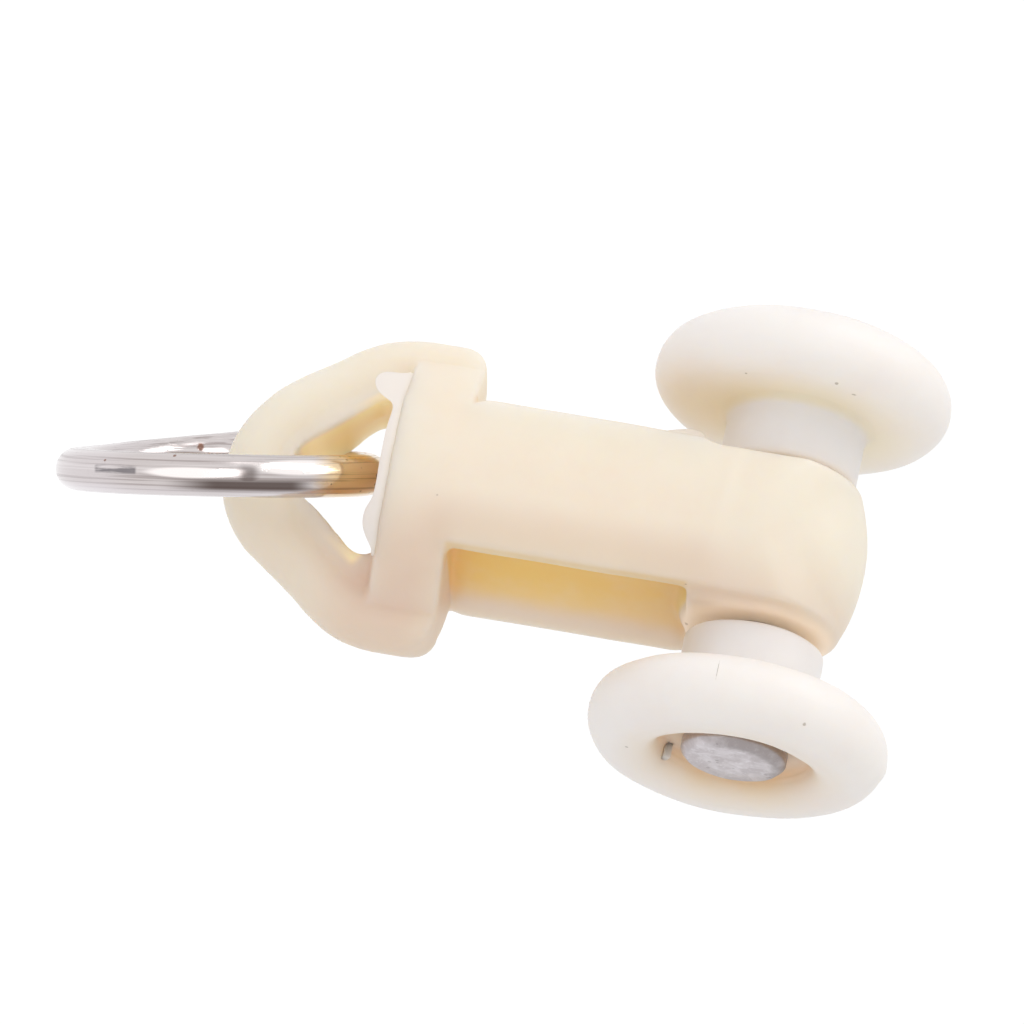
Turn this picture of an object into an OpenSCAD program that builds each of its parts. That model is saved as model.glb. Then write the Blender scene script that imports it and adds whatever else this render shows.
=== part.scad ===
// Curtain glider: a moulded body with two nylon wheels on a rivet, and a wire ring in its eye.
// The origin is on the axle's line, in the middle of the body. The wheels turn about X, the
// glider travels along Y, and Z points up from the ring to the wheels, as it hangs in use.

/* [Wheels] */
// Diameter of each wheel over its rim
wheel_d = 11; // [10.6:0.1:12]
// Thickness of the rim along the axle
rim_t = 2.75; // [2.6:0.05:3.2]
// Radius of the rim's rounded edges
rim_round = 1.28; // [0.8:0.02:1.3]
// Distance between the middle planes of the two wheels
wheel_gauge = 13.9; // [13.5:0.1:15]
// Diameter of the hub that faces the body
hub_d = 5.15; // [4.4:0.05:5.6]
// Radius of the fillet where the hub runs into the wheel's inner face
hub_fillet = 0.35; // [0.2:0.05:0.5]
// Diameter of the recess in the outer face, which holds the rivet's head
recess_d = 5.7; // [5:0.1:5.8]
// Depth of the recess
recess_depth = 1.1; // [1.05:0.05:1.3]
// Radius of the rounded lip where the recess meets the face
lip_round = 0.95; // [0.6:0.05:1]
// Gap between each hub and the body
hub_gap = 0.25; // [0.2:0.05:0.4]

/* [Axle rivet] */
// Diameter of the rivet's shank
rivet_d = 2.4; // [2:0.05:2.6]
// Diameter of the flattened heads
rivet_head_d = 3.9; // [3.4:0.05:4.2]
// Thickness of the heads
rivet_head_t = 0.65; // [0.5:0.05:0.8]
// Width of the bevel round each head
rivet_bevel = 0.2; // [0.1:0.05:0.3]
// Radial clearance between the shank and each bore
bore_clearance = 0.05; // [0.03:0.01:0.1]
// End play between the rivet's head and the floor of the recess
head_play = 0.1; // [0.05:0.05:0.2]
// How far the wheels and rivet lie to the right of the body's middle, within their end play
axle_shift = 0.15; // [0:0.05:0.2]

/* [Head] */
// Width of the head along the axle
head_w = 6.2; // [5.8:0.1:6.4]
// Height of the rounded nose above the axle
nose_reach = 3.47; // [3.2:0.05:3.8]
// Radius of the barrel-like bulge of the nose, front and back
bulge_r = 7.1; // [6.5:0.1:9]
// Radius of the head's upper corners
corner_r = 0.6; // [0.4:0.05:0.8]
// Depth of the flat shoulder below the axle where the head steps in to the stem
shoulder_z = 2.65; // [2.5:0.05:3]

/* [Stem] */
// Width of the stem along the axle
stem_w = 5.6; // [5.2:0.1:5.8]
// Thickness of the stem, front to back
stem_t = 7.7; // [7.2:0.1:8]
// Distance from the axle down to the middle of the stem's round top
stem_top_drop = 0.9; // [0.7:0.1:1.2]
// Radius of the stem's slightly rounded front and back
stem_face_r = 8.5; // [8:0.5:14]
// Radius of the stem's long edges
stem_edge_r = 0.45; // [0.3:0.05:0.6]
// Depth of the side pocket, at its deepest, just behind the front flange
pocket_depth = 1.05; // [0.7:0.05:1.3]
// Thickness of the front flange beside the pocket
flange_t = 1.15; // [0.9:0.05:1.4]
// Radius of the pocket's deep inner corner
pocket_r = 0.45; // [0.3:0.05:0.6]
// Width of the land behind the pocket
pocket_land = 0.75; // [0.5:0.05:1]

/* [Collar and eye] */
// Distance from the axle down to the top of the collar
collar_drop = 11.5; // [11:0.25:13]
// Height of the collar
collar_h = 2.6; // [2.4:0.1:3.2]
// Thickness of the collar at its middle, front to back
collar_t = 7.75; // [7.2:0.05:8]
// Radius of the collar's curved front and back
collar_face_r = 6.1; // [5.8:0.1:6.6]
// Thickness of the round wire-like arm of the eye
arm_d = 2.56; // [2.3:0.02:2.7]
// Distance from the middle to the centre of the arm where it leaves the collar
eye_half_w = 4.85; // [4.6:0.05:5.2]
// Slope of the eye's legs, from the vertical
leg_angle = 40; // [36:1:42]
// Bend radius of the arm at the tip of the eye
tip_r = 2.8; // [2.6:0.1:3.4]
// Bend radius of the arm at each shoulder
shoulder_r = 3; // [2.5:0.1:3.2]
// Height above the collar's lower face at which each arm starts to bend
arm_rise = 0.3; // [0.2:0.05:0.5]

/* [Ring] */
// Outside diameter of the wire ring
ring_od = 12.2; // [11.8:0.1:13]
// Diameter of the ring's wire
ring_wire_d = 1.55; // [1.3:0.05:1.6]
// Gap between the top of the ring and the collar above it
ring_gap = 0.3; // [0.2:0.05:0.6]
// How far the ring's middle lies to the right of the body's
ring_x = 0.2; // [0:0.05:0.4]
// How far the ring is turned about the vertical, in degrees
ring_turn = 24.4; // [10:0.1:30]
// How far the ring leans to the side, in degrees
ring_lean = 8.2; // [0:0.1:10]
// How far one end of the ring is sprung out of its plane, in degrees
ring_spring = 6.2; // [2:0.1:7]
// Place of the ring's joint, in degrees round from its top
ring_joint_at = 75; // [60:1:100]
// Width of the hairline gap between the ring's ends
ring_end_gap = 0.12; // [0.05:0.01:0.3]

/* [Hidden] */
$fn = 96;
eps = 0.01;
joint_margin = 0.04;

ivory = "#ede0c8";
nylon = "#f3eee2";
zinc = "#b4b8bd";
nickel = "#a9a29c";

wheel_r = wheel_d / 2;
bore_r = rivet_d / 2 + bore_clearance;
recess_floor = rim_t / 2 - recess_depth;
rivet_head_x = wheel_gauge / 2 + recess_floor + head_play;
hub_end = head_w / 2 + hub_gap + axle_shift;

collar_z = -collar_drop;
collar_low_z = collar_z - collar_h;
collar_end_r = arm_d / 2;
tip_bend = 90 - leg_angle;
leg_len = (eye_half_w - tip_r * sin(tip_bend) - shoulder_r * (1 - cos(leg_angle))) / sin(leg_angle);
bend_z = collar_low_z + arm_rise;
leg_top_z = bend_z - shoulder_r * sin(leg_angle);
leg_top_x = eye_half_w - shoulder_r * (1 - cos(leg_angle));
leg_low_z = leg_top_z - leg_len * cos(leg_angle);
tip_z = leg_low_z - tip_r * (1 - cos(tip_bend));

ring_mid_r = (ring_od - ring_wire_d) / 2;
ring_z = collar_low_z - ring_gap - ring_od / 2 * cos(ring_lean);
ring_end_turn = ring_end_gap / ring_mid_r * 180 / PI;

// A flat outline in the plane of the front view, given its depth from front to back
module across_y(depth) {
    rotate([90, 0, 0])
        translate([0, 0, -depth / 2])
            linear_extrude(depth)
                children();
}

// A flat outline of the side view, Y to the right and Z up, given its width along the axle
module across_x(width) {
    rotate([90, 0, 90])
        translate([0, 0, -width / 2])
            linear_extrude(width)
                children();
}

// A rectangle about the origin with round corners
module rounded_rect(w, h, r) {
    square([w - 2 * r, h], center = true);
    square([w, h - 2 * r], center = true);
    for (x = [-1, 1], y = [-1, 1])
        translate([x * (w / 2 - r), y * (h / 2 - r)])
            circle(r);
}

// The lens between two arcs that bulge to the front and to the back
module bulged_band(thickness, radius) {
    intersection_for (side = [-1, 1])
        translate([0, side * (radius - thickness / 2)])
            circle(radius, $fn = 180);
}

// Half of the head's section through the axle: a barrel side and a round corner at each end
module barrel_half() {
    middle_y = nose_reach - bulge_r;
    corner_x = head_w / 2 - corner_r;
    corner_y = middle_y + sqrt(pow(bulge_r - corner_r, 2) - pow(corner_x, 2));
    intersection() {
        translate([middle_y, 0])
            circle(bulge_r, $fn = 180);
        union() {
            translate([0, -corner_x])
                square([nose_reach, 2 * corner_x]);
            translate([0, -head_w / 2])
                square([corner_y, head_w]);
            for (side = [-1, 1])
                translate([corner_y, side * corner_x])
                    circle(corner_r);
        }
        translate([0, -head_w / 2])
            square([nose_reach, head_w]);
    }
}

// The barrel round the axle, carried straight down to the shoulders above the pockets
module head() {
    rotate([0, 90, 0])
        rotate_extrude()
            barrel_half();
    translate([0, 0, -shoulder_z])
        linear_extrude(shoulder_z)
            for (side = [0, 1])
                mirror([0, side, 0])
                    rotate([0, 0, 90])
                        barrel_half();
}

// The stem's outline seen from the side, with its round top inside the head
module stem_side() {
    half = stem_t / 2;
    translate([0, -stem_top_drop])
        circle(half);
    translate([-half, collar_low_z])
        square([stem_t, -stem_top_drop - collar_low_z]);
}

// Section of one side pocket: steep behind the front flange, shallow towards the back
module pocket_section() {
    deep_x = stem_w / 2 - pocket_depth;
    front_y = -stem_t / 2 + flange_t;
    back_y = stem_t / 2 - pocket_land;
    translate([deep_x + pocket_r, front_y + pocket_r])
        circle(pocket_r);
    polygon([
        [deep_x, front_y + pocket_r],
        [deep_x + pocket_r, front_y],
        [stem_w, front_y],
        [stem_w, back_y],
        [stem_w / 2, back_y]
    ]);
}

module stem() {
    intersection() {
        translate([0, 0, collar_low_z])
            linear_extrude(nose_reach - collar_low_z)
                intersection() {
                    rounded_rect(stem_w, stem_t, stem_edge_r);
                    bulged_band(stem_t, stem_face_r);
                }
        across_x(stem_w + 1)
            stem_side();
    }
}

module pockets() {
    for (side = [0, 1])
        mirror([side, 0, 0])
            translate([0, 0, collar_z - eps])
                linear_extrude(collar_drop - shoulder_z + eps)
                    pocket_section();
}

// Front outline of the collar: round upper corners, square below where the arms leave
module collar_front() {
    end_x = eye_half_w + collar_end_r;
    round_z = collar_z - collar_end_r;
    translate([-eye_half_w, round_z])
        square([2 * eye_half_w, collar_end_r]);
    for (side = [-1, 1])
        translate([side * eye_half_w, round_z])
            circle(collar_end_r);
    translate([-end_x, bend_z])
        square([2 * end_x, round_z - bend_z]);
    translate([-eye_half_w, collar_low_z])
        square([2 * eye_half_w, collar_h - collar_end_r]);
}

module collar() {
    intersection() {
        across_y(collar_t + 1)
            collar_front();
        translate([0, 0, collar_low_z - eps])
            linear_extrude(collar_h + 2 * eps) {
                intersection() {
                    bulged_band(collar_t, collar_face_r);
                    square([2 * eye_half_w, collar_t + 1], center = true);
                }
                for (side = [-1, 1])
                    translate([side * eye_half_w, 0])
                        circle(collar_end_r);
            }
    }
}

// One bent stretch of the arm, turned about the Y direction
module arm_bend(radius, sweep) {
    rotate([90, 0, 0])
        rotate_extrude(angle = sweep)
            translate([radius, 0])
                circle(d = arm_d, $fn = 48);
}

// A ball a hair larger than the arm, where two stretches of it meet
module arm_joint() {
    sphere(d = arm_d + joint_margin, $fn = 48);
}

module eye() {
    translate([0, 0, tip_z + tip_r])
        rotate([0, 90 - tip_bend, 0])
            arm_bend(tip_r, -2 * tip_bend);
    for (side = [0, 1])
        mirror([side, 0, 0]) {
            translate([leg_top_x, 0, leg_top_z]) {
                rotate([0, 180 + leg_angle, 0])
                    cylinder(d = arm_d, h = leg_len, $fn = 48);
                arm_joint();
            }
            translate([tip_r * sin(tip_bend), 0, leg_low_z])
                arm_joint();
            translate([eye_half_w - shoulder_r, 0, bend_z])
                arm_bend(shoulder_r, -leg_angle);
            translate([eye_half_w, 0, bend_z])
                arm_joint();
        }
}

module glider_body() {
    color(ivory)
        difference() {
            union() {
                difference() {
                    stem();
                    pockets();
                }
                head();
                collar();
                eye();
            }
            rotate([0, 90, 0])
                cylinder(r = bore_r, h = head_w + 2, center = true);
        }
}

module axle_rivet() {
    color(zinc)
        translate([axle_shift, 0, 0])
            rotate([0, 90, 0]) {
                cylinder(d = rivet_d, h = 2 * rivet_head_x + eps, center = true);
                for (side = [0, 1])
                    mirror([0, 0, side])
                        translate([0, 0, rivet_head_x]) {
                            cylinder(d = rivet_head_d, h = rivet_head_t - rivet_bevel);
                            translate([0, 0, rivet_head_t - rivet_bevel])
                                cylinder(r1 = rivet_head_d / 2, r2 = rivet_head_d / 2 - rivet_bevel, h = rivet_bevel);
                        }
            }
}

// Half section of a wheel, radius to the right and the outer face up, about its middle plane
module wheel_section() {
    hub_reach = wheel_gauge / 2 - hub_end + axle_shift;
    difference() {
        union() {
            difference() {
                translate([0, -rim_t / 2])
                    square([wheel_r - rim_round, rim_t]);
                translate([0, recess_floor])
                    square([recess_d / 2 + lip_round, recess_depth + eps]);
            }
            for (side = [-1, 1])
                translate([wheel_r - rim_round, side * (rim_t / 2 - rim_round)])
                    circle(rim_round);
            translate([wheel_r - rim_round, -rim_t / 2 + rim_round])
                square([rim_round, rim_t - 2 * rim_round]);
            translate([recess_d / 2 + lip_round, rim_t / 2 - lip_round])
                circle(lip_round);
            translate([recess_d / 2, recess_floor - eps])
                square([lip_round + eps, recess_depth - lip_round + eps]);
            translate([0, -hub_reach])
                square([hub_d / 2, hub_reach]);
            difference() {
                translate([hub_d / 2 - eps, -rim_t / 2 - hub_fillet])
                    square([hub_fillet + eps, hub_fillet + eps]);
                translate([hub_d / 2 + hub_fillet, -rim_t / 2 - hub_fillet])
                    circle(hub_fillet);
            }
        }
        translate([-1, -wheel_gauge])
            square([1 + bore_r, 2 * wheel_gauge]);
    }
}

module wheel() {
    color(nylon)
        translate([wheel_gauge / 2, 0, 0])
            rotate([0, 90, 0])
                rotate_extrude()
                    wheel_section();
}

module wheel_right() {
    translate([axle_shift, 0, 0])
        wheel();
}

module wheel_left() {
    translate([axle_shift, 0, 0])
        mirror([1, 0, 0])
            wheel();
}

// One arc of the ring's wire, from one angle to another round from the ring's top
module ring_arc(from, to) {
    rotate([0, 0, from])
        rotate_extrude(angle = to - from, $fn = 144)
            translate([ring_mid_r, 0])
                circle(d = ring_wire_d, $fn = 48);
}

module wire_ring() {
    color(nickel)
        translate([ring_x, 0, ring_z])
            rotate([0, -ring_lean, ring_turn])
                rotate([0, -90, 0]) {
                    ring_arc(-180, ring_joint_at);
                    translate([-ring_mid_r, 0, 0]) {
                        sphere(d = ring_wire_d + joint_margin, $fn = 48);
                        rotate([0, -ring_spring, 0])
                            translate([ring_mid_r, 0, 0])
                                ring_arc(ring_joint_at + ring_end_turn, 180);
                    }
                }
}

glider_body();
axle_rivet();
wheel_left();
wheel_right();
wire_ring();
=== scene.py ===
"""Looks of a curtain glider: a moulded ivory body, two nylon wheels on a rivet and a drawn wire ring.

Lengths are in metres and the frame is the packed model's: the wheels turn about X, the glider
travels along Y and Z points up from the ring to the wheels.
"""

import math

import bmesh
import bpy
from mathutils import Matrix, Vector, noise


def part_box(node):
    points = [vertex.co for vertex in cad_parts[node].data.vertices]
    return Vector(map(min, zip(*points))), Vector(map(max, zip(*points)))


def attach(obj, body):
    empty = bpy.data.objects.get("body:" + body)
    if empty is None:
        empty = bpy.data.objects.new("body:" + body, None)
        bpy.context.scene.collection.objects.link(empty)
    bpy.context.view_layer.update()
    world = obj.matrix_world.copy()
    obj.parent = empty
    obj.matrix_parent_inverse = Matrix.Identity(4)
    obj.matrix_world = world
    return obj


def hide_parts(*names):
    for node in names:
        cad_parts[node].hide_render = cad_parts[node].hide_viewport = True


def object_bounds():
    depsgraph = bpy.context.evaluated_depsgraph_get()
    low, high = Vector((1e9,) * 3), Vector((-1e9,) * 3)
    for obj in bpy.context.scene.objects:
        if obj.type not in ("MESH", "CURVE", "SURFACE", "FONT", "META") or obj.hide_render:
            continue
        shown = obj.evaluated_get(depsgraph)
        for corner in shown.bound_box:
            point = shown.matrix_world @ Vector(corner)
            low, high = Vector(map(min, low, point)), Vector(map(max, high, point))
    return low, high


bl_info = {
    "name": "Curtain Glider",
    "version": (1, 0, 0),
    "blender": (4, 5, 0),
    "location": "View3D > Sidebar > Curtain Glider",
    "description": "Moulded curtain glider with nylon wheels, a rivet and a wire ring",
    "category": "Add Mesh",
}

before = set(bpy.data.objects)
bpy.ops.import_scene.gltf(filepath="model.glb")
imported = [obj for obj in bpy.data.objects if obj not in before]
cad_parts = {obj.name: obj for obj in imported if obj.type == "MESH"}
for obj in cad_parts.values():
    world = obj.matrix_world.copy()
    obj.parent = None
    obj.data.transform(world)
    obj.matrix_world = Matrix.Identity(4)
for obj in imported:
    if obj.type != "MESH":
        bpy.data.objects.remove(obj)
cad_box = [list(corner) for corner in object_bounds()]

MM = 0.001

# Foot and top of the eye's flat inner wall in the front view, as (across, up) in millimetres
EYE_WALL_FOOT = (1.164, -17.29)
EYE_WALL_TOP = (3.05, -14.95)
RIVET_LOW, RIVET_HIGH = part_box("axle_rivet")
WHEEL_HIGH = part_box("wheel_right")[1]

# Heights of the ledge under the collar that gets a second smoothing, in millimetres
LEDGE_LOW, LEDGE_HIGH = -14.8, -13.7
EYE_MIDDLE_Z = -15.4

# The stub that the mould's gate left in the right wheel's recess, and the nib on the rim
STUB_SIZE = (0.75, 0.42, 0.27)
STUB_AT = (7.56, 1.23, -2.5)
STUB_TURN = math.radians(-26)
NIB_AT = (7.58, 0.09, 5.44)
NIB_HEIGHT, NIB_WIDTH = 0.1, 0.45

VECTOR, FLOAT, COLOUR = "NodeSocketVector", "NodeSocketFloat", "NodeSocketColor"


def srgb(red, green, blue):
    """A colour given in 0 to 255 as the linear colour that materials use."""
    parts = [c / 255 for c in (red, green, blue)]
    return [c / 12.92 if c <= 0.04045 else ((c + 0.055) / 1.055) ** 2.4 for c in parts] + [1.0]


# Painted shade, darker towards the body's +X side
IVORY_PAINTED_SHADE = srgb(228, 207, 189)
# Painted shade along the lower edge of the stem's front
IVORY_PAINTED_FRONT_SHADE = srgb(224, 202, 182)
IVORY_CLOUD = srgb(238, 220, 200)
IVORY_MARK = srgb(150, 122, 92)
# Painted light: colour of the glow inside the eye and beside the hubs
PAINTED_GLOW = srgb(240, 216, 180)
PLASTIC_DUST = srgb(150, 128, 104)
FILM_CLOUD = srgb(238, 228, 222)
NYLON_CLOUD = srgb(240, 228, 222)
NYLON_MARK = srgb(140, 124, 104)
ZINC_SCUFF = srgb(226, 224, 228)
ZINC_PIT = srgb(112, 104, 104)
ZINC_SHADE = srgb(122, 112, 108)
# Painted reflection: paler parts of the wire
WIRE_PALE_REFLECTION = srgb(222, 216, 220)
# Painted highlight on the wire
WIRE_PAINTED_HIGHLIGHT = srgb(255, 248, 246)
# Painted reflection of dark surroundings on the wire
WIRE_DARK_REFLECTION = srgb(74, 57, 51)
WIRE_SCUFF = srgb(92, 88, 94)
# Drawn lines within the painted reflection of the collar
WARM_LINE = srgb(118, 84, 52)
WIRE_FRECKLE = srgb(104, 78, 54)


def colour_property(name, description, default):
    return bpy.props.FloatVectorProperty(
        name=name,
        description=description,
        default=default,
        size=4,
        min=0.0,
        max=1.0,
        subtype="COLOR",
    )


def angle_property(name, description, degrees):
    return bpy.props.FloatProperty(
        name=name, description=description, default=math.radians(degrees), subtype="ANGLE"
    )


def power_property(name, description, default):
    return bpy.props.FloatProperty(name=name, description=description, default=default, unit="POWER")


def length_property(name, description, default, low, high):
    return bpy.props.FloatProperty(
        name=name,
        description=description,
        default=default,
        min=low,
        max=high,
        precision=5,
        unit="LENGTH",
        subtype="DISTANCE",
    )


class GliderBodySettings(bpy.types.PropertyGroup):
    """Sizes and colours of the moulded body and of the flash on its collar."""

    grain: length_property(
        "Surface grain", "Size of the mesh cells that round the moulded edges", 0.00011, 0.00008, 0.0003
    )
    softness: bpy.props.IntProperty(
        name="Edge softness",
        description="Smoothing passes over the moulded edges",
        default=9,
        min=0,
        max=30,
    )
    ridge: length_property(
        "Ridge height", "Height of the faint ridge where the stem meets the nose", 0.00008, 0.0, 0.0002
    )
    eye_wall: length_property(
        "Eye wall depth", "Depth of the eye's flat inner wall at its tip", 0.00244, 0.002, 0.0026
    )
    flash: length_property(
        "Flash thickness", "Thickness of the thin flash on the collar", 0.00013, 0.0001, 0.0002
    )
    ivory: colour_property("Ivory", "Colour of the moulded plastic", srgb(243, 231, 214))
    # Painted shade deep in the pockets
    honey: colour_property("Honey", "Colour deep in the pockets and inside the eye", srgb(244, 208, 114))
    # Painted shade on the wall inside the eye
    amber: colour_property("Amber", "Colour of the wall inside the eye", srgb(254, 226, 174))
    # Painted shade on the flange's side beside the pocket
    tan: colour_property("Tan", "Colour where the thick plastic lies in the shade", srgb(224, 194, 152))
    flash_white: colour_property("Flash white", "Colour of the thin flash", srgb(241, 231, 222))


class GliderWheelSettings(bpy.types.PropertyGroup):
    """Sizes and colours of the two wheels."""

    rim_width: length_property("Rim width", "Width of the rim along the axle", 0.00275, 0.0026, 0.0032)
    rim_round: length_property("Rim rounding", "Radius of the rounded rim", 0.00128, 0.0008, 0.0013)
    lip_round: length_property("Lip rounding", "Radius of the recess's lip", 0.00098, 0.0003, 0.00105)
    recess: length_property("Recess diameter", "Width of the recess at its floor", 0.00565, 0.005, 0.006)
    recess_depth: length_property("Recess depth", "Depth of the recess", 0.0011, 0.0005, 0.0013)
    hub: length_property("Hub diameter", "Diameter of the hub", 0.00515, 0.0045, 0.0056)
    bore: length_property("Bore diameter", "Diameter of the bore", 0.0025, 0.002, 0.003)
    wobble: length_property("Unevenness", "How uneven the moulded rim is", 0.00004, 0.0, 0.0001)
    nylon: colour_property("Nylon", "Colour of the wheels", srgb(245, 238, 233))
    # Painted shade on the inner face by the hub
    cream: colour_property("Cream", "Colour behind the wheels", srgb(246, 231, 198))
    # Painted shade in the outer recess
    hollow: colour_property("Hollow", "Colour in the wheels' recesses", srgb(236, 211, 176))


class GliderRivetSettings(bpy.types.PropertyGroup):
    """Sizes and colours of the rivet."""

    shank: length_property("Shank diameter", "Diameter of the shank", 0.0024, 0.002, 0.0026)
    head: length_property("Head diameter", "Diameter of the flattened heads", 0.0039, 0.0034, 0.0042)
    head_height: length_property("Head height", "Height of each head", 0.00065, 0.0005, 0.0008)
    chamfer: length_property("Chamfer", "Width of the chamfer round each head", 0.00022, 0.0001, 0.0003)
    zinc: colour_property("Zinc", "Colour of the plating", srgb(206, 200, 203))
    dull_zinc: colour_property("Dull zinc", "Colour of the plating's dull patches", srgb(190, 183, 185))


class GliderRingSettings(bpy.types.PropertyGroup):
    """Sizes and colours of the wire ring."""

    middle_radius: length_property(
        "Ring radius", "Radius of the ring at the middle of its wire", 0.005325, 0.005, 0.006
    )
    wire: length_property("Wire diameter", "Diameter of the wire", 0.00155, 0.0013, 0.0016)
    turn: angle_property("Turn", "Turn of the ring about the vertical", 24.4)
    lean: angle_property("Lean", "Lean of the ring to the side", 8.2)
    spring: angle_property("Sprung end", "How far one end is sprung out of the ring's plane", 6.2)
    joint_at: angle_property("Joint", "Place of the joint, round from the top", 75)
    end_gap: length_property("End gap", "Gap between the wire's ends", 0.00012, 0.00005, 0.0003)
    nickel: colour_property("Nickel", "Colour of the wire", srgb(202, 194, 192))
    bright: colour_property("Bright nickel", "Colour of the drawn bright lines", srgb(230, 224, 223))
    tarnish: colour_property("Tarnish", "Colour of the drawn dark lines", srgb(112, 94, 88))
    # Painted reflection of the ivory collar on the wire near its top
    collar_reflection_colour: colour_property("Warm cast", "Colour of the wire near the collar", srgb(232, 200, 150))
    rust: colour_property("Rust", "Colour of the rust spots", srgb(122, 74, 46))


class GliderStageSettings(bpy.types.PropertyGroup):
    """Floor, lights and camera."""

    drop: length_property("Floor drop", "Gap between the ring and the floor", 0.006, 0.0, 0.05)
    floor_white: colour_property("Floor", "Colour of the floor", srgb(244, 244, 246))
    sky: bpy.props.FloatProperty(
        name="Sky light", description="Strength of the light all round", default=0.77
    )
    front: power_property("Front light", "Power of the front light", 0.34)
    side: power_property("Side light", "Power of the side light", 0.3)
    top: power_property("Top light", "Power of the top light", 0.09)


SETTINGS = {
    "glider_body": GliderBodySettings,
    "glider_wheels": GliderWheelSettings,
    "glider_rivet": GliderRivetSettings,
    "glider_ring": GliderRingSettings,
    "glider_stage": GliderStageSettings,
}


# Helpers for node trees


def add_node(tree, kind, inputs=None, **settings):
    """Adds a node, sets its settings, and sets or links its inputs."""
    made = tree.nodes.new(kind)
    for name, value in settings.items():
        setattr(made, name, value)
    for name, value in (inputs or {}).items():
        if isinstance(value, bpy.types.NodeSocket):
            tree.links.new(value, made.inputs[name])
        else:
            made.inputs[name].default_value = value
    return made


def math_node(tree, operation, first, second=0.0):
    return add_node(tree, "ShaderNodeMath", {0: first, 1: second}, operation=operation).outputs[0]


def times(tree, first, *others):
    """Product of two or more values."""
    for value in others:
        first = math_node(tree, "MULTIPLY", first, value)
    return first


def split(tree, vector):
    return add_node(tree, "ShaderNodeSeparateXYZ", {0: vector}).outputs


def vector_node(tree, operation, first, second=(0.0, 0.0, 0.0)):
    made = add_node(tree, "ShaderNodeVectorMath", {0: first, 1: second}, operation=operation)
    return made.outputs["Value" if operation in ("LENGTH", "DISTANCE", "DOT_PRODUCT") else "Vector"]


def smooth_step(tree, value, start, end, low=0.0, high=1.0):
    """Eases from low to high while the value goes from start to end."""
    inputs = {"Value": value, "From Min": start, "From Max": end, "To Min": low, "To Max": high}
    return add_node(tree, "ShaderNodeMapRange", inputs, interpolation_type="SMOOTHSTEP").outputs["Result"]


def step_mm(tree, value, start, end, low=0.0, high=1.0):
    """Eases as smooth_step does, with start and end in millimetres."""
    return smooth_step(tree, value, start * MM, end * MM, low, high)


def mix_colour(tree, factor, first, second):
    inputs = {0: factor, 6: first, 7: second}
    return add_node(tree, "ShaderNodeMix", inputs, data_type="RGBA", clamp_factor=True).outputs[2]


def noise_node(tree, vector, scale, detail=3.0, roughness=0.5, distortion=0.0):
    inputs = {"Vector": vector, "Scale": scale, "Detail": detail, "Roughness": roughness}
    return add_node(tree, "ShaderNodeTexNoise", inputs | {"Distortion": distortion}).outputs["Fac"]


def axle_distance(tree, place):
    return vector_node(tree, "LENGTH", vector_node(tree, "MULTIPLY", place, (0.0, 1.0, 1.0)))


def new_group(name, inputs, outputs):
    """Starts a node group with its sockets. Returns it, its input sockets and its output node."""
    group = bpy.data.node_groups.new(name, "ShaderNodeTree")
    for socket, kind, default in inputs:
        made = group.interface.new_socket(name=socket, in_out="INPUT", socket_type=kind)
        if default is not None:
            made.default_value = default
    for socket, kind in outputs:
        group.interface.new_socket(name=socket, in_out="OUTPUT", socket_type=kind)
    start = group.nodes.new("NodeGroupInput")
    end = group.nodes.new("NodeGroupOutput")
    return group, start.outputs, end


def use_group(tree, name, **inputs):
    """Places a shared group in a tree. Underscores in the keywords stand for spaces."""
    made = tree.nodes.new("ShaderNodeGroup")
    made.node_tree = bpy.data.node_groups[name]
    for key, value in inputs.items():
        socket = made.inputs[key.replace("_", " ")]
        if isinstance(value, bpy.types.NodeSocket):
            tree.links.new(value, socket)
        else:
            socket.default_value = value
    return made.outputs


def box_mask_group():
    """White inside a soft-edged box."""
    group, given, end = new_group(
        "Soft box",
        [
            ("Vector", VECTOR, None),
            ("Centre", VECTOR, None),
            ("Half size", VECTOR, None),
            ("Softness", FLOAT, 0.0003),
        ],
        [("Mask", FLOAT)],
    )
    offset = vector_node(group, "ABSOLUTE", vector_node(group, "SUBTRACT", given["Vector"], given["Centre"]))
    beyond = vector_node(group, "SUBTRACT", offset, given["Half size"])
    parts = split(group, beyond)
    steps = [smooth_step(group, part, 0.0, given["Softness"], 1.0, 0.0) for part in parts]
    group.links.new(times(group, *steps), end.inputs["Mask"])


def soft_box(tree, vector, centre, half, softness):
    """A soft-edged box as a mask, its sizes in millimetres."""
    centre, half = ([part * MM for part in sizes] for sizes in (centre, half))
    placed = {"Vector": vector, "Centre": centre, "Half_size": half, "Softness": softness * MM}
    return use_group(tree, "Soft box", **placed)["Mask"]


def spot_group():
    """One small mark with an uneven edge."""
    group, given, end = new_group(
        "Spot",
        [
            ("Vector", VECTOR, None),
            ("Centre", VECTOR, None),
            ("Stretch", VECTOR, (1.0, 1.0, 1.0)),
            ("Radius", FLOAT, 0.0001),
        ],
        [("Mask", FLOAT)],
    )
    offset = vector_node(group, "SUBTRACT", given["Vector"], given["Centre"])
    away = vector_node(group, "LENGTH", vector_node(group, "DIVIDE", offset, given["Stretch"]))
    edge = noise_node(group, given["Vector"], 9000.0, 2.0)
    ragged = times(group, away, math_node(group, "ADD", edge, 0.5))
    inner = times(group, given["Radius"], 0.55)
    mask = smooth_step(group, ragged, inner, given["Radius"], 1.0, 0.0)
    group.links.new(mask, end.inputs["Mask"])


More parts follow.
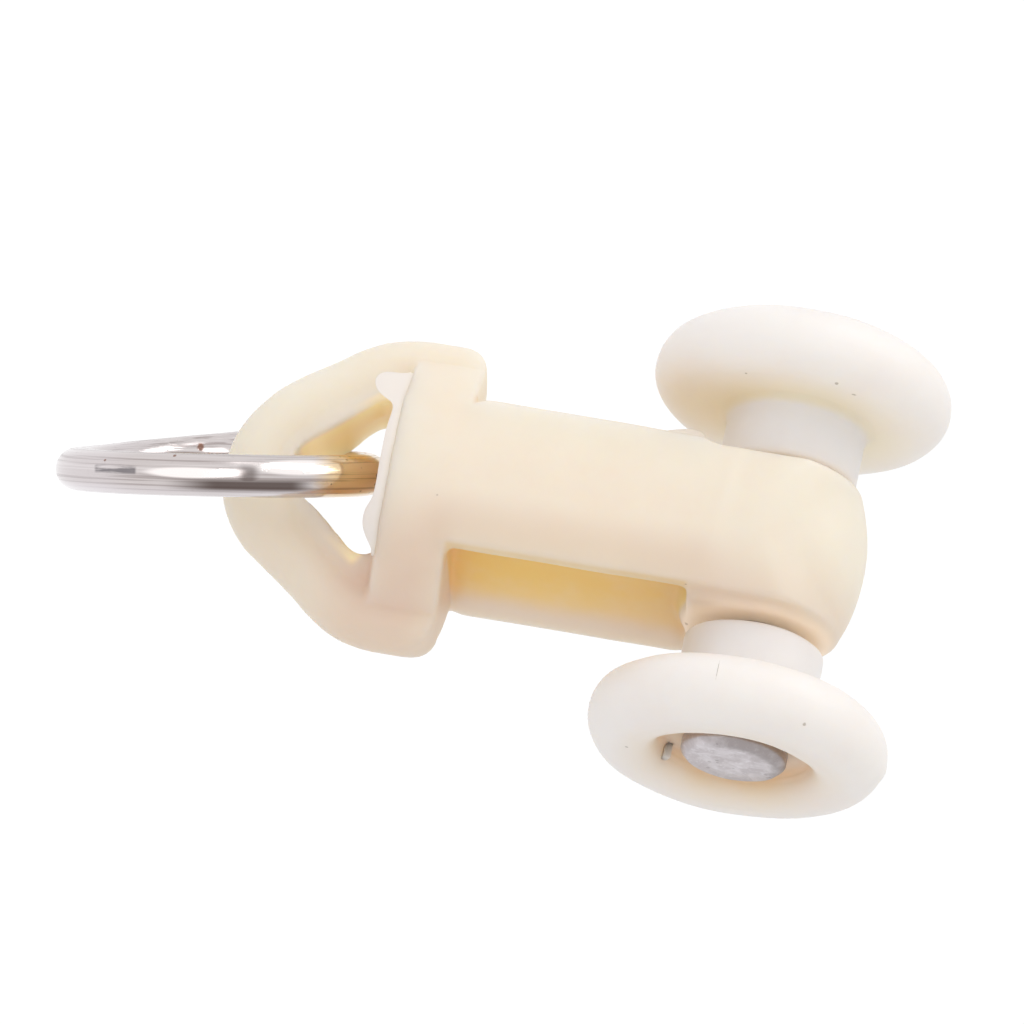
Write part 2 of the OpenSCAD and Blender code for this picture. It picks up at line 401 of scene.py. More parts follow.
def specks_group():
    """Scattered specks: one in some of the cells, smaller or larger."""
    group, given, end = new_group(
        "Specks",
        [
            ("Vector", VECTOR, None),
            ("Scale", FLOAT, 900.0),
            ("Size", FLOAT, 0.2),
            ("Share", FLOAT, 0.1),
        ],
        [("Mask", FLOAT)],
    )
    cells = add_node(group, "ShaderNodeTexVoronoi", {"Vector": given["Vector"], "Scale": given["Scale"]})
    parts = add_node(group, "ShaderNodeSeparateColor", {0: cells.outputs["Color"]}).outputs
    chosen = math_node(group, "LESS_THAN", parts[0], given["Share"])
    size = times(group, given["Size"], parts[1])
    inner = times(group, size, 0.5)
    mask = smooth_step(group, cells.outputs["Distance"], inner, size, 1.0, 0.0)
    group.links.new(times(group, mask, chosen), end.inputs["Mask"])


def eye_wall_group():
    """Distance behind the eye's flat inner wall as X, depth as Y and the way up along the wall as Z."""
    group, given, end = new_group(
        "Eye wall place", [("Vector", VECTOR, None)], [("Vector", VECTOR)]
    )
    (foot_x, foot_z), (top_x, top_z) = EYE_WALL_FOOT, EYE_WALL_TOP
    slope = math.atan2(top_x - foot_x, top_z - foot_z)
    offset = vector_node(group, "SUBTRACT", given["Vector"], (foot_x * MM, 0.0, foot_z * MM))
    behind = vector_node(group, "DOT_PRODUCT", offset, (math.cos(slope), 0.0, -math.sin(slope)))
    along = vector_node(group, "DOT_PRODUCT", offset, (math.sin(slope), 0.0, math.cos(slope)))
    depth = split(group, offset)["Y"]
    widening = times(group, math_node(group, "SUBTRACT", 1.6 * MM, along), 0.2)
    depth = math_node(group, "SUBTRACT", depth, widening)
    made = add_node(group, "ShaderNodeCombineXYZ", {"X": behind, "Y": depth, "Z": along}).outputs[0]
    group.links.new(made, end.inputs["Vector"])


def moulded_group():
    """Moulded plastic: faint clouds in the colour, an uneven gloss and a fine skin."""
    group, given, end = new_group(
        "Moulded plastic",
        [
            ("Vector", VECTOR, None),
            ("Colour", COLOUR, (0.9, 0.9, 0.9, 1.0)),
            ("Cloud colour", COLOUR, (0.8, 0.8, 0.8, 1.0)),
            ("Cloud amount", FLOAT, 0.3),
            ("Gloss", FLOAT, 0.4),
        ],
        [("Colour", COLOUR), ("Roughness", FLOAT), ("Height", FLOAT)],
    )
    clouds = smooth_step(group, noise_node(group, given["Vector"], 260.0, 4.0, 0.6), 0.38, 0.72)
    veil = times(group, clouds, given["Cloud amount"])
    colour = mix_colour(group, veil, given["Colour"], given["Cloud colour"])
    dust = use_group(group, "Specks", Vector=given["Vector"], Scale=620.0, Size=0.07, Share=0.05)["Mask"]
    colour = mix_colour(group, times(group, dust, 0.35), colour, PLASTIC_DUST)
    group.links.new(colour, end.inputs["Colour"])
    smear = noise_node(group, given["Vector"], 700.0, 3.0, 0.55)
    roughness = math_node(group, "ADD", given["Gloss"], times(group, smear, 0.16))
    group.links.new(roughness, end.inputs["Roughness"])
    waves = noise_node(group, given["Vector"], 420.0, 2.0)
    skin = noise_node(group, given["Vector"], 5200.0, 2.0)
    height = math_node(group, "ADD", waves, times(group, skin, 0.08))
    group.links.new(height, end.inputs["Height"])


def new_material(name, colour, **shader):
    """A material with a Principled shader, its constants set on the shader's own sockets."""
    material = bpy.data.materials.new(name)
    material.use_nodes = True
    material.diffuse_color = colour
    tree = material.node_tree
    principled = tree.nodes["Principled BSDF"]
    principled.inputs["Base Color"].default_value = colour
    for key, value in shader.items():
        principled.inputs[key.replace("_", " ")].default_value = value
    place = add_node(tree, "ShaderNodeTexCoord").outputs["Object"]
    return material, tree, principled, place


def bump(tree, principled, height, distance, strength=1.0):
    made = add_node(tree, "ShaderNodeBump", {"Height": height, "Distance": distance, "Strength": strength})
    tree.links.new(made.outputs["Normal"], principled.inputs["Normal"])


def darken_spots(tree, place, colour, spots, dark, amount):
    """Lays marks, each a centre and radius in millimetres and a stretch, over a colour."""
    for centre, radius, stretch in spots:
        centre = [part * MM for part in centre]
        spot = use_group(tree, "Spot", Vector=place, Centre=centre, Radius=radius * MM, Stretch=stretch)
        mask = spot["Mask"]
        colour = mix_colour(tree, times(tree, mask, amount), colour, dark)
    return colour


def moulded_finish(tree, principled, place, colour, cloud, gloss, bumps, marks=(), mark=None, share=0.0):
    """Lays the moulded plastic and its marks over a colour. Cloud is a colour and an amount."""
    moulded = use_group(
        tree,
        "Moulded plastic",
        Vector=place,
        Colour=colour,
        Cloud_colour=cloud[0],
        Cloud_amount=cloud[1],
        Gloss=gloss,
    )
    coloured = darken_spots(tree, place, moulded["Colour"], marks, mark, share)
    tree.links.new(coloured, principled.inputs["Base Color"])
    tree.links.new(moulded["Roughness"], principled.inputs["Roughness"])
    bump(tree, principled, moulded["Height"], *bumps)


# Helpers for meshes


def mesh_data(name, shape):
    """Turns a bmesh into a mesh and frees it."""
    data = bpy.data.meshes.new(name)
    shape.to_mesh(data)
    shape.free()
    return data


def place_object(name, data):
    made = bpy.data.objects.new(name, data)
    bpy.context.collection.objects.link(made)
    return made


def shade_smooth(mesh):
    mesh.polygons.foreach_set("use_smooth", [True] * len(mesh.polygons))


def finish_piece(name, body, shape, material):
    """Turns a bmesh into an object at the origin that rides on a body."""
    mesh = mesh_data(name, shape)
    piece = place_object(name, mesh)
    mesh.materials.append(material)
    shade_smooth(mesh)
    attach(piece, body)
    return piece


def arc(centre, radius, start, end, steps):
    """Points of an arc, as (along the axle, out from it). Angles run from outward to the axle."""
    points = []
    for step in range(steps + 1):
        angle = math.radians(start + (end - start) * step / steps)
        points.append((centre[0] + radius * math.sin(angle), centre[1] + radius * math.cos(angle)))
    return points


def spin_round(mesh, geom, steps):
    """Spins points and edges once round the X axis."""
    bmesh.ops.spin(
        mesh, geom=geom, cent=(0, 0, 0), axis=(1, 0, 0), angle=math.tau, steps=steps, use_merge=True
    )
    bmesh.ops.remove_doubles(mesh, verts=mesh.verts[:], dist=1e-7)


def turned(outline, steps):
    """A closed outline of (along X, out from X) points, spun once round the X axis."""
    mesh = bmesh.new()
    loop = [mesh.verts.new((x, 0.0, out)) for x, out in outline]
    edges = [mesh.edges.new((loop[i - 1], loop[i])) for i in range(len(loop))]
    spin_round(mesh, loop + edges, steps)
    bmesh.ops.recalc_face_normals(mesh, faces=mesh.faces[:])
    return mesh


def round_edges(mesh, edges, width):
    """Bevels edges to a soft round and returns the new points."""
    return bmesh.ops.bevel(
        mesh,
        geom=edges,
        offset=width,
        offset_type="OFFSET",
        segments=3,
        profile=0.5,
        affect="EDGES",
        material=-1,
        clamp_overlap=True,
    )["verts"]


def uneven(mesh, amount, size, seed):
    """Moves each point a little along its normal, by a smooth random pattern."""
    mesh.normal_update()
    shift = Vector((seed * 3.7, seed * 1.3, seed * 2.1))
    for vert in mesh.verts:
        vert.co += vert.normal * amount * noise.noise(vert.co / size + shift)


def bell(value, centre, width):
    return math.exp(-(((value - centre) / width) ** 2))


def ease(value, start, end):
    """Eases from 0 to 1 while the value goes from start to end."""
    share = min(1.0, max(0.0, (value - start) / (end - start)))
    return share * share * (3.0 - 2.0 * share)


def extrude_rows(mesh, rows, closed=False):
    """Extrudes a row of points in millimetres through the other rows. Returns the end edges."""
    verts = [mesh.verts.new(Vector(point) * MM) for point in rows[0]]
    pairs = list(zip(verts, verts[1:])) + ([(verts[-1], verts[0])] if closed else [])
    first = edges = [mesh.edges.new(pair) for pair in pairs]
    for row in rows[1:]:
        grown = bmesh.ops.extrude_edge_only(mesh, edges=edges)["geom"]
        fresh = {part for part in grown if isinstance(part, bmesh.types.BMVert)}
        grown_edges = [part for part in grown if isinstance(part, bmesh.types.BMEdge)]
        edges = [edge for edge in grown_edges if fresh.issuperset(edge.verts)]
        verts = [min(fresh, key=lambda v: ((v.co - old.co).length, v.index)) for old in verts]
        for vert, point in zip(verts, row):
            vert.co = Vector(point) * MM
    return first, edges


# The moulded body


def ivory_material(settings):
    material, tree, principled, place = new_material(
        "moulded_ivory",
        settings.ivory,
        Subsurface_Weight=0.75,
        Subsurface_Radius=(1.0, 0.85, 0.6),
        Subsurface_Scale=0.003,
        IOR=1.48,
    )
    parts = split(tree, place)
    across = math_node(tree, "ABSOLUTE", parts["X"])
    folded = {"X": across, "Y": parts["Y"], "Z": parts["Z"]}
    folded = add_node(tree, "ShaderNodeCombineXYZ", folded).outputs[0]
    # Painted shade: honey deep in the pockets, strongest by the flange and fading backwards and upwards
    pocket = soft_box(tree, folded, (1.8, 0.45, -7.1), (0.75, 2.75, 4.32), 0.3)
    backward = step_mm(tree, parts["Y"], -0.6, 3.4, 1.0, 0.55)
    upward = step_mm(tree, parts["Z"], -10.5, -2.5, 1.0, 0.86)
    deep = times(tree, backward, upward, pocket)
    # Painted shade: amber on the eye's flat inner wall, on both arms
    wall_place = use_group(tree, "Eye wall place", Vector=folded)["Vector"]
    wall = soft_box(tree, wall_place, (0.0, 0.55, 1.4), (0.12, 1.6, 1.7), 0.38)
    # Painted shade: tan on the flange's side face beside the pocket, on both sides
    flank = soft_box(tree, folded, (3.0, -2.5, -7.1), (0.2, 0.7, 4.32), 0.22)
    # Painted shade: darker along the lower edge of the stem's front
    painted_front_shade = soft_box(tree, place, (2.6, -3.2, -7.1), (0.4, 0.5, 4.4), 1.6)
    # Painted shade: darker towards the +X side, which faces away from the light, less so at the foot of the
    # eye
    sideways = step_mm(tree, parts["X"], 0.3, 3.7, 0.0, 0.95)
    low_side = times(tree, sideways, step_mm(tree, parts["Z"], -17.0, -14.4, 0.35, 1.0))
    colour = mix_colour(tree, low_side, settings.ivory, IVORY_PAINTED_SHADE)
    colour = mix_colour(tree, times(tree, painted_front_shade, 0.45), colour, IVORY_PAINTED_FRONT_SHADE)
    colour = mix_colour(tree, times(tree, flank, 0.9), colour, settings.tan)
    colour = mix_colour(tree, deep, colour, settings.honey)
    colour = mix_colour(tree, wall, colour, settings.amber)
    marks = [
        ((-2.78, -0.69, -15.69), 0.16, (0.4, 0.5, 1.3)),
        ((1.21, -3.8, -12.12), 0.09, (1.0, 1.0, 1.0)),
        ((3.71, -2.46, -13.42), 0.08, (1.0, 1.0, 1.0)),
        ((2.75, -3.11, -2.68), 0.06, (1.0, 1.0, 1.0)),
        ((2.75, -2.75, -7.23), 0.05, (1.0, 1.0, 1.0)),
        ((3.05, 0.06, -2.6), 0.09, (1.0, 1.6, 1.0)),
    ]
    cloud = (IVORY_CLOUD, 0.35)
    moulded_finish(
        tree, principled, place, colour, cloud, 0.38, (0.00006, 0.5), marks, IVORY_MARK, 0.65
    )
    # Painted light: the plastic glows a little inside the eye and beside the hubs, in place of light that
    # the thin plastic passes on
    beside = times(
        tree,
        step_mm(tree, axle_distance(tree, place), 2.4, 3.5, 0.2, 0.0),
        step_mm(tree, across, 2.75, 3.05),
    )
    principled.inputs["Emission Color"].default_value = PAINTED_GLOW
    glow = math_node(tree, "MAXIMUM", beside, times(tree, wall, 0.17))
    tree.links.new(glow, principled.inputs["Emission Strength"])
    return material


def eye_opening():
    """Outline of the eye's opening in the front view, as (across, up) in millimetres, once round."""
    tip_centre_z, tip_radius = -16.315, 1.52
    (foot_x, foot_z), (top_x, top_z) = EYE_WALL_FOOT, EYE_WALL_TOP
    slope = math.atan2(top_z - foot_z, top_x - foot_x)
    side = []
    for step in range(9):
        angle = step / 8 * slope - math.pi / 2
        side.append((tip_radius * math.cos(angle), tip_centre_z + tip_radius * math.sin(angle)))
    for share in (0.2, 0.4, 0.6, 0.8):
        side.append((foot_x + (top_x - foot_x) * share, foot_z + (top_z - foot_z) * share))
    side += [(2.98, -15.04), (3.05, -14.88), (3.03, -14.66), (2.9, -14.3), (2.74, -14.06)]
    return side + [(-x, z) for x, z in reversed(side[1:])]


def add_eye_wall(mesh, depth):
    """Adds the flat wall round the eye's opening, a closed band that the remesh melts into the arm."""
    outline = eye_opening()
    rows = [[], [], [], []]
    into_arm, wider_front, wider_back = 1.2, 0.28, 0.85
    for at, (x, z) in enumerate(outline):
        (ahead_x, ahead_z), (back_x, back_z) = outline[(at + 1) % len(outline)], outline[at - 1]
        away = Vector((ahead_z - back_z, back_x - ahead_x)).normalized()
        if away.dot(Vector((x, z - EYE_MIDDLE_Z))) < 0:
            away.negate()
        wider = ease(z, -17.5, -16.3)
        front, behind = -depth / MM / 2 - wider_front * wider, depth / MM / 2 + wider_back * wider
        far_x, far_z = x + into_arm * away.x, z + into_arm * away.y
        draft = 0.3 * ease(z, -16.4, -15.2)
        last = (x + draft * away.x, behind, z + draft * away.y)
        far = [(far_x, 0.74 * front, far_z), (far_x, 0.68 * behind, far_z)]
        for row, point in zip(rows, ((x, front, z), *far, last)):
            row.append(point)
    band = bmesh.new()
    first, last = extrude_rows(band, rows, closed=True)
    bmesh.ops.bridge_loops(band, edges=first + last)
    bmesh.ops.recalc_face_normals(band, faces=band.faces[:])
    lent = mesh_data("eye_wall", band)
    mesh.from_mesh(lent)
    bpy.data.meshes.remove(lent)


def settle(vert):
    """Moves a point of the body to where the moulding's slight distortion leaves it."""
    x, y, z = (c / MM for c in vert.co)
    if -14.2 < z < -11.2 and abs(x) < 3.4:
        limit = -collar_front_y(x)
        if abs(y) > limit:
            y = math.copysign(limit + (abs(y) - limit) * (1.0 - ease(z, -11.3, -12.1)), y)
    flank = ease(z, -2.4, -3.2) * ease(z, -11.6, -11.0) * ease(abs(x), 1.8, 2.5)
    x += flank * (0.16 * ease(y, -1.0, 1.0) if x > 0 else -0.22)
    if z < -14.3:
        low_side = ease(x, -1.2, 1.2)
        x -= low_side * 0.2 * bell(z, -16.9, 1.5) + (1.0 - low_side) * 0.2 * bell(z, -18.4, 1.1)
    vert.co = Vector((x, y, z)) * MM


class CURTAINGLIDER_OT_body(bpy.types.Operator):
    """Build the moulded body with its soft edges, pockets, collar and eye"""

    bl_idname = "curtain_glider.body"
    bl_label = "Moulded Body"

    def execute(self, context):
        settings = context.scene.glider_body
        mesh = bmesh.new()
        mesh.from_mesh(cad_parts["glider_body"].data)
        bmesh.ops.remove_doubles(mesh, verts=mesh.verts[:], dist=2e-6)
        add_eye_wall(mesh, settings.eye_wall)
        body = finish_piece("moulded_body", "body", mesh, ivory_material(settings))
        remesh = body.modifiers.new("moulded_skin", "REMESH")
        remesh.mode = "VOXEL"
        remesh.voxel_size = settings.grain
        remesh.adaptivity = 0.0
        shaped = bmesh.new()
        shaped.from_object(body, context.evaluated_depsgraph_get())
        if not shaped.faces:
            raise RuntimeError("the moulded body came out empty")
        body.modifiers.clear()
        for vert in shaped.verts:
            settle(vert)
        ledge = [vert for vert in shaped.verts if LEDGE_LOW * MM < vert.co.z < LEDGE_HIGH * MM]
        for verts, passes in ((shaped.verts[:], settings.softness), (ledge, settings.softness)):
            for _ in range(passes):
                bmesh.ops.smooth_vert(
                    shaped, verts=verts, factor=0.5, use_axis_x=True, use_axis_y=True, use_axis_z=True
                )
        shaped.normal_update()
        for vert in shaped.verts:
            x, z = vert.co.x / MM, vert.co.z / MM
            front = max(0.0, -vert.normal.y)
            rise = settings.ridge * bell(z, -1.9 - 0.1 * x, 0.3) * bell(x, -0.9, 1.8) * front
            sway = 0.00003 * noise.noise(vert.co / (2.2 * MM))
            vert.co += vert.normal * (rise + sway)
        shaped.to_mesh(body.data)
        shaped.free()
        shade_smooth(body.data)
        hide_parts("glider_body")
        return {"FINISHED"}


# Places along the collar's lower front edge, in millimetres: across, how far the flash stands out,
# and how far it curls to the front
FLASH_STATIONS = (
    (-4.0, 0.0, 0.0),
    (-3.84, 0.12, 0.02),
    (-3.74, 0.45, 0.1),
    (-3.64, 0.84, 0.22),
    (-3.42, 1.08, 0.3),
    (-3.15, 1.16, 0.32),
    (-2.88, 1.14, 0.3),
    (-2.6, 1.0, 0.22),
    (-2.42, 0.76, 0.12),
    (-2.28, 0.42, 0.04),
    (-2.1, 0.29, 0.0),
    (-1.84, 0.28, 0.0),
    (-1.3, 0.33, 0.0),
    (-0.77, 0.35, 0.0),
    (-0.2, 0.33, 0.0),
    (0.3, 0.34, 0.0),
    (0.9, 0.3, 0.0),
    (1.5, 0.32, 0.0),
    (1.75, 0.37, 0.0),
    (1.95, 0.48, 0.02),
    (2.28, 0.58, 0.03),
    (2.68, 0.54, 0.03),
    (3.02, 0.33, 0.0),
    (3.3, 0.08, 0.0),
    (3.55, 0.0, 0.0),
)


# Rows of points of the thin film beside the head, in millimetres
HEAD_FLASH_ROWS = (
    (
        (-2.8, -2.95, -4.6),
        (-2.8, -2.95, -4.3),
        (-2.8, -2.95, -3.9),
        (-2.8, -2.92, -3.5),
        (-2.8, -2.9, -3.0),
    ),
    (
        (-3.08, -2.95, -4.55),
        (-3.08, -2.95, -4.3),
        (-3.08, -2.94, -3.9),
        (-3.08, -2.9, -3.5),
        (-3.08, -2.88, -3.0),
    ),
    (
        (-3.12, -2.94, -4.5),
        (-3.2, -2.94, -4.3),
        (-3.33, -2.92, -3.9),
        (-3.42, -2.9, -3.5),
        (-3.3, -2.88, -3.0),
    ),
)


def collar_front_y(across):
    """Where the collar's curved front lies at a place across it, in millimetres."""
    radius, half = 6.1, 3.875
    return (radius - half) - math.sqrt(radius**2 - across**2)


def film_material(settings):
    """Thin plastic, paler towards its free edge."""
    material, tree, principled, place = new_material(
        "flash_film",
        settings.flash_white,
        Subsurface_Weight=0.3,
        Subsurface_Radius=(1.0, 0.85, 0.7),
        Subsurface_Scale=0.0006,
        IOR=1.48,
    )
    free_edge = step_mm(tree, split(tree, place)["Z"], -13.95, -14.3)
    colour = mix_colour(tree, free_edge, settings.ivory, settings.flash_white)
    moulded_finish(tree, principled, place, colour, (FILM_CLOUD, 0.4), 0.3, (0.00005, 0.5))
    return material


def film_sheet(rows, thickness):
    """A thin sheet behind rows of points in millimetres, each row as long as the first."""
    mesh = bmesh.new()
    extrude_rows(mesh, rows)
    before = sum(vert.co.y for vert in mesh.verts) / len(mesh.verts)
    bmesh.ops.solidify(mesh, geom=mesh.faces[:], thickness=thickness)
    after = sum(vert.co.y for vert in mesh.verts) / len(mesh.verts)
    bmesh.ops.translate(mesh, vec=(0.0, before - after + thickness / 2, 0.0), verts=mesh.verts[:])
    bmesh.ops.recalc_face_normals(mesh, faces=mesh.faces[:])
    return mesh


class CURTAINGLIDER_OT_flash(bpy.types.Operator):
    """Build the thin flash of plastic on the collar's front edge and beside the head"""

    bl_idname = "curtain_glider.flash"
    bl_label = "Moulding Flash"

    def execute(self, context):
        settings = context.scene.glider_body
        material = film_material(settings)
        low = -14.1
        rows = [[(across, collar_front_y(across) + 0.3, low + 0.4) for across, *_ in FLASH_STATIONS]]
        # Each further row: its share of the reach, how far behind the collar's front, and how far up
        places = ((0.0, 0.16, 0.14), (0.0, 0.1, 0.0), (0.3, 0.07, 0.0), (0.7, 0.06, 0.0), (1.0, 0.06, 0.0))
        for share, behind, above in places:
            row = []
            for across, reach, curl in FLASH_STATIONS:
                front = collar_front_y(across) + behind - curl * share**2
                row.append((across, front, low + above + 0.01 - (reach + 0.01) * share))
            rows.append(row)
        sheets = {"collar_flash": rows, "head_flash": HEAD_FLASH_ROWS}
        for name, sheet in sheets.items():
            film = finish_piece(name, "body", film_sheet(sheet, settings.flash), material)
            rounding = film.modifiers.new("rounding", "SUBSURF")
            rounding.levels = rounding.render_levels = 2
        return {"FINISHED"}


# The wheels


def nylon_material(settings, side, marks):
    """White nylon with painted shade: cream on the inner face by the hub and a warmer colour in the outer
    recess. Side is 1 for the right wheel and -1 for the left.
    """
    material, tree, principled, place = new_material(
        "nylon_right" if side > 0 else "nylon_left",
        settings.nylon,
        Subsurface_Weight=0.75,
        Subsurface_Radius=(1.0, 0.9, 0.75),
        Subsurface_Scale=0.003,
        IOR=1.5,
    )
    half = settings.rim_width / 2
    middle = WHEEL_HIGH.x - half if side > 0 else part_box("wheel_left")[0].x + half
    offset = math_node(tree, "SUBTRACT", split(tree, place)["X"], middle)
    outward = times(tree, offset, float(side))
    spoke = axle_distance(tree, place)
    # Painted shade: cream on the inner face near the hub, stronger on the left wheel
    near_hub = step_mm(tree, spoke, 2.5, 5.3, 1.0, 0.0)
    behind = times(
        tree,
        step_mm(tree, outward, -1.75, -1.45),
        step_mm(tree, outward, -0.9, 0.1, 1.0, 0.0),
        0.6 if side < 0 else 0.25,
    )
    # Painted shade: a warmer colour in the outer recess, fading outwards and towards the face
    hollow = times(
        tree,
        step_mm(tree, spoke, 2.7, 4.7, 1.0, 0.0),
        step_mm(tree, outward, 0.3, 1.5, 1.0, 0.45),
        step_mm(tree, outward, 0.0, 0.2),
    )
    colour = mix_colour(tree, times(tree, near_hub, behind), settings.nylon, settings.cream)
    colour = mix_colour(tree, hollow, colour, settings.hollow)
    cloud = (NYLON_CLOUD, 0.4)
    moulded_finish(
        tree, principled, place, colour, cloud, 0.36, (0.00005, 0.45), marks, NYLON_MARK, 0.55
    )
    return material


def wheel_outline(settings, hub_end):
    """Outline of a wheel as (outward from its middle plane, out from the axle) points."""
    half, rim = settings.rim_width / 2, WHEEL_HIGH.z
    round_out = settings.rim_round
    bore, hub, recess = settings.bore / 2, settings.hub / 2, settings.recess / 2
    floor = half - settings.recess_depth
    lip = settings.lip_round
    fillet, corner = 0.45 * MM, 0.2 * MM
    points = [(hub_end, bore), (hub_end, hub - corner)]
    points += arc((hub_end + corner, hub - corner), corner, -90, 0, 4)
    points += arc((-half - fillet, hub + fillet), fillet, 180, 90, 6)
    points += arc((-half + round_out, rim - round_out), round_out, -90, 0, 12)
    points += arc((half - 1.1 * round_out, rim - 1.1 * round_out), 1.1 * round_out, 0, 78, 12)
    points += [(half - 0.02 * MM, recess + lip + 0.3 * MM)]
    points += arc((half - lip, recess + lip), lip, 80, 172, 10)
    points += arc((floor + 0.25 * MM, recess - 0.25 * MM), 0.25 * MM, 0, -90, 5)
    points += [(floor, bore + 0.3 * MM), (floor, bore)]
    return points


def add_gate_stub(mesh):
    """Adds the small stub that the mould's gate left on the wall of the recess."""
    stub = bmesh.ops.create_cube(mesh, size=1.0)["verts"]
    edges = [edge for edge in mesh.edges if edge.verts[0] in stub]
    bmesh.ops.scale(mesh, vec=[size * MM for size in STUB_SIZE], verts=stub)
    rounded = round_edges(mesh, edges, 0.07 * MM)
    placed = list({vert for vert in stub + rounded if vert.is_valid})
    turn = Matrix.Rotation(STUB_TURN, 3, "X")
    bmesh.ops.rotate(mesh, cent=(0, 0, 0), matrix=turn, verts=placed)
    bmesh.ops.translate(mesh, vec=[part * MM for part in STUB_AT], verts=placed)


class CURTAINGLIDER_OT_wheels(bpy.types.Operator):
    """Build both nylon wheels with their hubs and recesses"""

    bl_idname = "curtain_glider.wheels"
    bl_label = "Nylon Wheels"

    def execute(self, context):
        settings = context.scene.glider_wheels
        left_marks = [
            ((-5.47, -4.32, 1.4), 0.09, (1.0, 1.0, 1.0)),
            ((-5.43, -3.68, 2.06), 0.08, (1.0, 1.0, 1.8)),
            ((-5.44, -3.93, -1.93), 0.06, (1.0, 1.0, 1.0)),
        ]
        right_marks = [
            ((7.94, -4.58, 2.58), 0.09, (1.0, 1.0, 1.0)),
            ((8.48, -0.7, -3.82), 0.08, (1.0, 1.0, 1.0)),
            ((6.7, -5.3, -0.8), 0.5, (1.0, 1.0, 0.035)),
        ]
        for side, name, marks in ((1, "wheel_right", right_marks), (-1, "wheel_left", left_marks)):
            low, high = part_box(name)
            inner = low.x if side > 0 else high.x
            outer = high.x if side > 0 else low.x
            middle = outer - side * settings.rim_width / 2
            mesh = turned(wheel_outline(settings, -abs(inner - middle)), 144)
            if side < 0:
                bmesh.ops.scale(mesh, vec=(-1, 1, 1), verts=mesh.verts[:])
                bmesh.ops.recalc_face_normals(mesh, faces=mesh.faces[:])
            bmesh.ops.translate(mesh, vec=(middle, 0, 0), verts=mesh.verts[:])
            uneven(mesh, settings.wobble, 2.6 * MM, side)
            if side > 0:
                nib = Vector(NIB_AT) * MM
                for vert in mesh.verts:
                    rise = bell((vert.co - nib).length, 0.0, NIB_WIDTH * MM)
                    vert.co += vert.normal * NIB_HEIGHT * MM * rise
                add_gate_stub(mesh)
            material = nylon_material(settings, side, marks)
            body = "right_wheel" if side > 0 else "left_wheel"
            piece = finish_piece(name + "_moulded", body, mesh, material)
            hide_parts(name)
        return {"FINISHED"}


# The rivet


def zinc_material(settings):
    """Dull zinc plating with clouds, scuffs and pits, in shade at one side of the recess."""
    material, tree, principled, place = new_material(
        "cloudy_zinc", settings.zinc, Metallic=0.85, Roughness=0.42, Specular_IOR_Level=0.6
    )
    clouds = smooth_step(tree, noise_node(tree, place, 1500.0, 5.0, 0.62, 0.6), 0.35, 0.68)
    scuffs = smooth_step(tree, noise_node(tree, place, 5200.0, 3.0, 0.6), 0.52, 0.7)
    colour = mix_colour(tree, clouds, settings.dull_zinc, settings.zinc)
    colour = mix_colour(tree, times(tree, scuffs, 0.35), colour, ZINC_SCUFF)
    pits = use_group(tree, "Specks", Vector=place, Scale=3200.0, Size=0.35, Share=0.12)["Mask"]
    colour = mix_colour(tree, times(tree, pits, 0.35), colour, ZINC_PIT)
    parts = split(tree, place)
    skew = math_node(tree, "SUBTRACT", times(tree, parts["Z"], 0.75), times(tree, parts["Y"], 0.65))
    rim = step_mm(tree, axle_distance(tree, place), 1.3, 1.62)
    shade = times(tree, rim, step_mm(tree, skew, -0.2, 1.2), 0.45)
    colour = mix_colour(tree, shade, colour, ZINC_SHADE)
    tree.links.new(colour, principled.inputs["Base Color"])
    tree.links.new(smooth_step(tree, clouds, 0.0, 1.0, 0.5, 0.34), principled.inputs["Roughness"])
    dents = math_node(tree, "ADD", noise_node(tree, place, 1800.0, 3.0), times(tree, pits, -0.3))
    bump(tree, principled, dents, 0.00008, 0.6)
    return material


class CURTAINGLIDER_OT_rivet(bpy.types.Operator):
    """Build the axle rivet with its flattened heads"""

    bl_idname = "curtain_glider.rivet"
    bl_label = "Axle Rivet"

    def execute(self, context):
        settings = context.scene.glider_rivet
        shank, head = settings.shank / 2, settings.head / 2
        outline = []
        for end, side in ((RIVET_LOW.x, 1), (RIVET_HIGH.x, -1)):
            under = end + side * settings.head_height
            knee = end + side * settings.chamfer
            half = [
                (end, 0.35 * head),
                (end, head - settings.chamfer * 1.15),
                (end + side * 0.03 * MM, head - settings.chamfer * 0.95),
                (knee - side * 0.02 * MM, head - 0.03 * MM),
                (knee + side * 0.05 * MM, head),
                (under - side * 0.05 * MM, head),
                (under, head - 0.05 * MM),
                (under, shank + 0.04 * MM),
                (under + side * 0.04 * MM, shank),
            ]
            outline += half if side > 0 else half[::-1]
        mesh = bmesh.new()
        verts = [mesh.verts.new((x, 0.0, out)) for x, out in outline]
        edges = [mesh.edges.new(pair) for pair in zip(verts, verts[1:])]
        steps = 96
        spin_round(mesh, verts + edges, steps)
        rims = sorted((edge for edge in mesh.edges if edge.is_boundary), key=lambda e: e.verts[0].co.x)
        for rim in (rims[:steps], rims[steps:]):
            face = bmesh.ops.contextual_create(mesh, geom=rim)["faces"]
            bmesh.ops.inset_region(mesh, faces=face, thickness=0.25 * MM)
            bmesh.ops.inset_region(mesh, faces=face, thickness=0.2 * MM)
            bmesh.ops.poke(mesh, faces=face)
        bmesh.ops.recalc_face_normals(mesh, faces=mesh.faces[:])
        uneven(mesh, 0.00003, 0.9 * MM, 5)
        rivet = finish_piece("peened_rivet", "body", mesh, zinc_material(settings))
        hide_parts("axle_rivet")
        return {"FINISHED"}


# The wire ring


